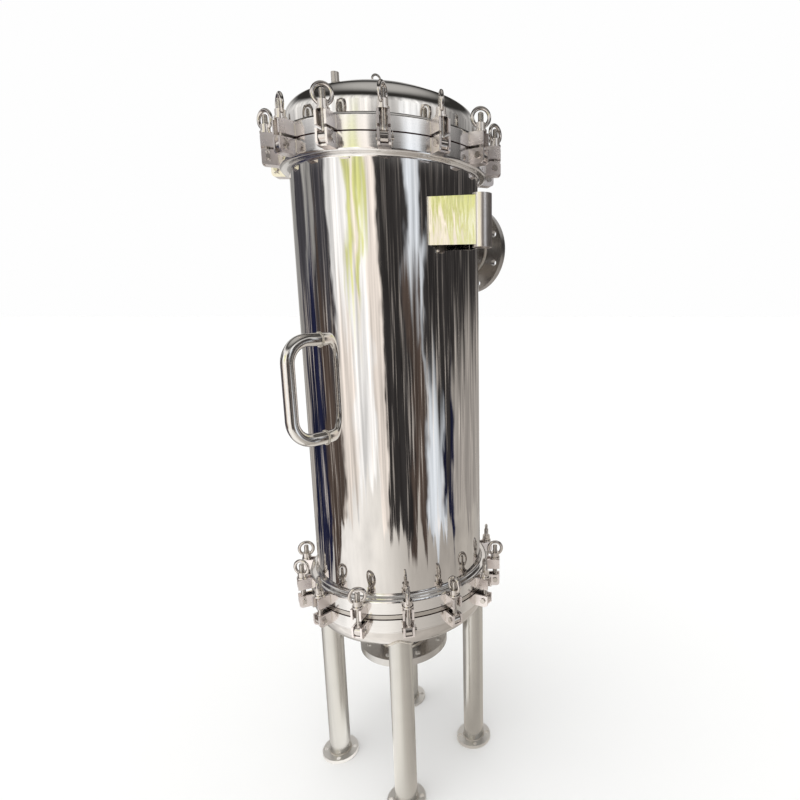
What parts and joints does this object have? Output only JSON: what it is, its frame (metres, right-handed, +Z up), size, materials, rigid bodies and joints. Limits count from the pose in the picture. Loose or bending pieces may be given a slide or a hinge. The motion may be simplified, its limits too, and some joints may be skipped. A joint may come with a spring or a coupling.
{
  "type": "multi-cartridge filter housing",
  "caption": "Polished upright filter vessel on pipe legs, with swing-bolted lid and base, side inlet, bottom outlet and cartridges inside.",
  "frame": {"origin": "on the floor, on the vessel's axis, at the centre of the circle of outer anchor holes", "axes": "+Z up along the vessel's axis, -Y towards the front leg, +X towards the right leg"},
  "size_m": [0.6124, 0.6361, 1.8611],
  "materials": {
    "silicone_gasket": "matt silicone",
    "filter_media": "pleated filter media",
    "cartridge_cap": "moulded polypropylene",
    "polished_shell": "mirror polished stainless steel",
    "polished_ring": "mirror polished stainless steel",
    "polished_lug": "polished stainless steel",
    "polished_handle": "polished stainless steel tube",
    "davit_socket": "polished stainless steel",
    "swing_bolt": "polished cast and turned stainless steel",
    "lifting_loop": "bent stainless rod",
    "vent_nipple": "turned stainless steel",
    "turned_pin": "turned stainless steel",
    "tube_sheet": "turned stainless plate",
    "nozzle_pipe": "polished stainless pipe",
    "machined_flange": "machined stainless steel",
    "satin_leg": "satin ground stainless pipe",
    "foot_plate": "cut stainless plate",
    "hold_down_plate": "stainless sheet",
    "tie_rod": "stainless rod and nuts"
  },
  "bodies": {
    "root": {"shell": "polished_shell", "shell_top_ring": "polished_ring", "shell_bottom_ring": "polished_ring", "lid_dome": "polished_shell", "lid_ring": "polished_ring", "ring_gaskets": "silicone_gasket", "lid_lugs": "polished_lug", "shell_top_lugs": "polished_lug", "shell_bottom_lugs": "polished_lug", "bottom_head_lugs": "polished_lug", "hinge_pins": "turned_pin", "tube_sheet": "tube_sheet", "bottom_head": "polished_shell", "bottom_head_ring": "polished_ring", "outlet_pipe": "nozzle_pipe", "outlet_flange": "machined_flange", "inlet_pipe": "nozzle_pipe", "inlet_flange": "machined_flange", "leg_front": "satin_leg", "leg_right": "satin_leg", "leg_back": "satin_leg", "leg_left": "satin_leg", "foot_plates": "foot_plate", "carry_handle": "polished_handle", "davit_sleeve": "davit_socket", "davit_plates": "davit_socket", "lifting_loop": "lifting_loop", "vent_nipple": "vent_nipple", "cartridges": "filter_media", "cartridge_caps": "cartridge_cap", "hold_down_plate": "hold_down_plate", "tie_rods": "tie_rod"},
    "top_swing_bolt_01": {"top_swing_bolt_01": "swing_bolt"},
    "top_swing_bolt_02": {"top_swing_bolt_02": "swing_bolt"},
    "top_swing_bolt_03": {"top_swing_bolt_03": "swing_bolt"},
    "top_swing_bolt_04": {"top_swing_bolt_04": "swing_bolt"},
    "top_swing_bolt_05": {"top_swing_bolt_05": "swing_bolt"},
    "top_swing_bolt_06": {"top_swing_bolt_06": "swing_bolt"},
    "top_swing_bolt_07": {"top_swing_bolt_07": "swing_bolt"},
    "top_swing_bolt_08": {"top_swing_bolt_08": "swing_bolt"},
    "top_swing_bolt_09": {"top_swing_bolt_09": "swing_bolt"},
    "top_swing_bolt_10": {"top_swing_bolt_10": "swing_bolt"},
    "top_swing_bolt_11": {"top_swing_bolt_11": "swing_bolt"},
    "top_swing_bolt_12": {"top_swing_bolt_12": "swing_bolt"},
    "top_swing_bolt_13": {"top_swing_bolt_13": "swing_bolt"},
    "top_swing_bolt_14": {"top_swing_bolt_14": "swing_bolt"},
    "bottom_swing_bolt_01": {"bottom_swing_bolt_01": "swing_bolt"},
    "bottom_swing_bolt_02": {"bottom_swing_bolt_02": "swing_bolt"},
    "bottom_swing_bolt_03": {"bottom_swing_bolt_03": "swing_bolt"},
    "bottom_swing_bolt_04": {"bottom_swing_bolt_04": "swing_bolt"},
    "bottom_swing_bolt_05": {"bottom_swing_bolt_05": "swing_bolt"},
    "bottom_swing_bolt_06": {"bottom_swing_bolt_06": "swing_bolt"},
    "bottom_swing_bolt_07": {"bottom_swing_bolt_07": "swing_bolt"},
    "bottom_swing_bolt_08": {"bottom_swing_bolt_08": "swing_bolt"},
    "bottom_swing_bolt_09": {"bottom_swing_bolt_09": "swing_bolt"},
    "bottom_swing_bolt_10": {"bottom_swing_bolt_10": "swing_bolt"},
    "bottom_swing_bolt_11": {"bottom_swing_bolt_11": "swing_bolt"},
    "bottom_swing_bolt_12": {"bottom_swing_bolt_12": "swing_bolt"},
    "bottom_swing_bolt_13": {"bottom_swing_bolt_13": "swing_bolt"},
    "bottom_swing_bolt_14": {"bottom_swing_bolt_14": "swing_bolt"}
  },
  "joints": [
    {"name": "top_bolt_01_swing", "type": "hinge", "parent": "root", "child": "top_swing_bolt_01", "pos_m": [0.01263, -0.2677, 1.6495], "axis": [0.9989, 0.0471, 0], "range_deg": [0, 125]},
    {"name": "top_bolt_02_swing", "type": "hinge", "parent": "root", "child": "top_swing_bolt_02", "pos_m": [0.12753, -0.23571, 1.6495], "axis": [0.8795, 0.4758, 0], "range_deg": [0, 125]},
    {"name": "top_bolt_03_swing", "type": "hinge", "parent": "root", "child": "top_swing_bolt_03", "pos_m": [0.21717, -0.15704, 1.6495], "axis": [0.586, 0.8103, 0], "range_deg": [0, 125]},
    {"name": "top_bolt_04_swing", "type": "hinge", "parent": "root", "child": "top_swing_bolt_04", "pos_m": [0.2638, -0.04726, 1.6495], "axis": [0.1763, 0.9843, 0], "range_deg": [0, 125]},
    {"name": "top_bolt_05_swing", "type": "hinge", "parent": "root", "child": "top_swing_bolt_05", "pos_m": [0.25818, 0.07188, 1.6495], "axis": [-0.2682, 0.9634, 0], "range_deg": [0, 125]},
    {"name": "top_bolt_06_swing", "type": "hinge", "parent": "root", "child": "top_swing_bolt_06", "pos_m": [0.20143, 0.17678, 1.6495], "axis": [-0.6596, 0.7516, 0], "range_deg": [0, 100]},
    {"name": "top_bolt_07_swing", "type": "hinge", "parent": "root", "child": "top_swing_bolt_07", "pos_m": [0.10478, 0.24667, 1.6495], "axis": [-0.9204, 0.391, 0], "range_deg": [0, 100]},
    {"name": "top_bolt_08_swing", "type": "hinge", "parent": "root", "child": "top_swing_bolt_08", "pos_m": [-0.01263, 0.2677, 1.6495], "axis": [-0.9989, -0.0471, 0], "range_deg": [0, 125]},
    {"name": "top_bolt_09_swing", "type": "hinge", "parent": "root", "child": "top_swing_bolt_09", "pos_m": [-0.12753, 0.23571, 1.6495], "axis": [-0.8795, -0.4758, 0], "range_deg": [0, 125]},
    {"name": "top_bolt_10_swing", "type": "hinge", "parent": "root", "child": "top_swing_bolt_10", "pos_m": [-0.21717, 0.15704, 1.6495], "axis": [-0.586, -0.8103, 0], "range_deg": [0, 125]},
    {"name": "top_bolt_11_swing", "type": "hinge", "parent": "root", "child": "top_swing_bolt_11", "pos_m": [-0.2638, 0.04726, 1.6495], "axis": [-0.1763, -0.9843, 0], "range_deg": [0, 125]},
    {"name": "top_bolt_12_swing", "type": "hinge", "parent": "root", "child": "top_swing_bolt_12", "pos_m": [-0.25818, -0.07188, 1.6495], "axis": [0.2682, -0.9634, 0], "range_deg": [0, 125]},
    {"name": "top_bolt_13_swing", "type": "hinge", "parent": "root", "child": "top_swing_bolt_13", "pos_m": [-0.20143, -0.17678, 1.6495], "axis": [0.6596, -0.7516, 0], "range_deg": [0, 125]},
    {"name": "top_bolt_14_swing", "type": "hinge", "parent": "root", "child": "top_swing_bolt_14", "pos_m": [-0.10478, -0.24667, 1.6495], "axis": [0.9204, -0.391, 0], "range_deg": [0, 125]},
    {"name": "bottom_bolt_01_swing", "type": "hinge", "parent": "root", "child": "bottom_swing_bolt_01", "pos_m": [0.02522, -0.26681, 0.558], "axis": [0.9956, 0.0941, 0], "range_deg": [0, 125]},
    {"name": "bottom_bolt_02_swing", "type": "hinge", "parent": "root", "child": "bottom_swing_bolt_02", "pos_m": [0.13849, -0.22945, 0.558], "axis": [0.8561, 0.5167, 0], "range_deg": [0, 125]},
    {"name": "bottom_bolt_03_swing", "type": "hinge", "parent": "root", "child": "bottom_swing_bolt_03", "pos_m": [0.22433, -0.14663, 0.558], "axis": [0.5471, 0.837, 0], "range_deg": [0, 125]},
    {"name": "bottom_bolt_04_swing", "type": "hinge", "parent": "root", "child": "bottom_swing_bolt_04", "pos_m": [0.26573, -0.03478, 0.558], "axis": [0.1298, 0.9915, 0], "range_deg": [0, 125]},
    {"name": "bottom_bolt_05_swing", "type": "hinge", "parent": "root", "child": "bottom_swing_bolt_05", "pos_m": [0.25451, 0.08396, 0.558], "axis": [-0.3133, 0.9497, 0], "range_deg": [0, 125]},
    {"name": "bottom_bolt_06_swing", "type": "hinge", "parent": "root", "child": "bottom_swing_bolt_06", "pos_m": [0.19288, 0.18607, 0.558], "axis": [-0.6943, 0.7197, 0], "range_deg": [0, 125]},
    {"name": "bottom_bolt_07_swing", "type": "hinge", "parent": "root", "child": "bottom_swing_bolt_07", "pos_m": [0.09304, 0.25133, 0.558], "axis": [-0.9378, 0.3472, 0], "range_deg": [0, 125]},
    {"name": "bottom_bolt_08_swing", "type": "hinge", "parent": "root", "child": "bottom_swing_bolt_08", "pos_m": [-0.02522, 0.26681, 0.558], "axis": [-0.9956, -0.0941, 0], "range_deg": [0, 125]},
    {"name": "bottom_bolt_09_swing", "type": "hinge", "parent": "root", "child": "bottom_swing_bolt_09", "pos_m": [-0.13849, 0.22945, 0.558], "axis": [-0.8561, -0.5167, 0], "range_deg": [0, 125]},
    {"name": "bottom_bolt_10_swing", "type": "hinge", "parent": "root", "child": "bottom_swing_bolt_10", "pos_m": [-0.22433, 0.14663, 0.558], "axis": [-0.5471, -0.837, 0], "range_deg": [0, 125]},
    {"name": "bottom_bolt_11_swing", "type": "hinge", "parent": "root", "child": "bottom_swing_bolt_11", "pos_m": [-0.26573, 0.03478, 0.558], "axis": [-0.1298, -0.9915, 0], "range_deg": [0, 125]},
    {"name": "bottom_bolt_12_swing", "type": "hinge", "parent": "root", "child": "bottom_swing_bolt_12", "pos_m": [-0.25451, -0.08396, 0.558], "axis": [0.3133, -0.9497, 0], "range_deg": [0, 125]},
    {"name": "bottom_bolt_13_swing", "type": "hinge", "parent": "root", "child": "bottom_swing_bolt_13", "pos_m": [-0.19288, -0.18607, 0.558], "axis": [0.6943, -0.7197, 0], "range_deg": [0, 125]},
    {"name": "bottom_bolt_14_swing", "type": "hinge", "parent": "root", "child": "bottom_swing_bolt_14", "pos_m": [-0.09304, -0.25133, 0.558], "axis": [0.9378, -0.3472, 0], "range_deg": [0, 125]}
  ]
}
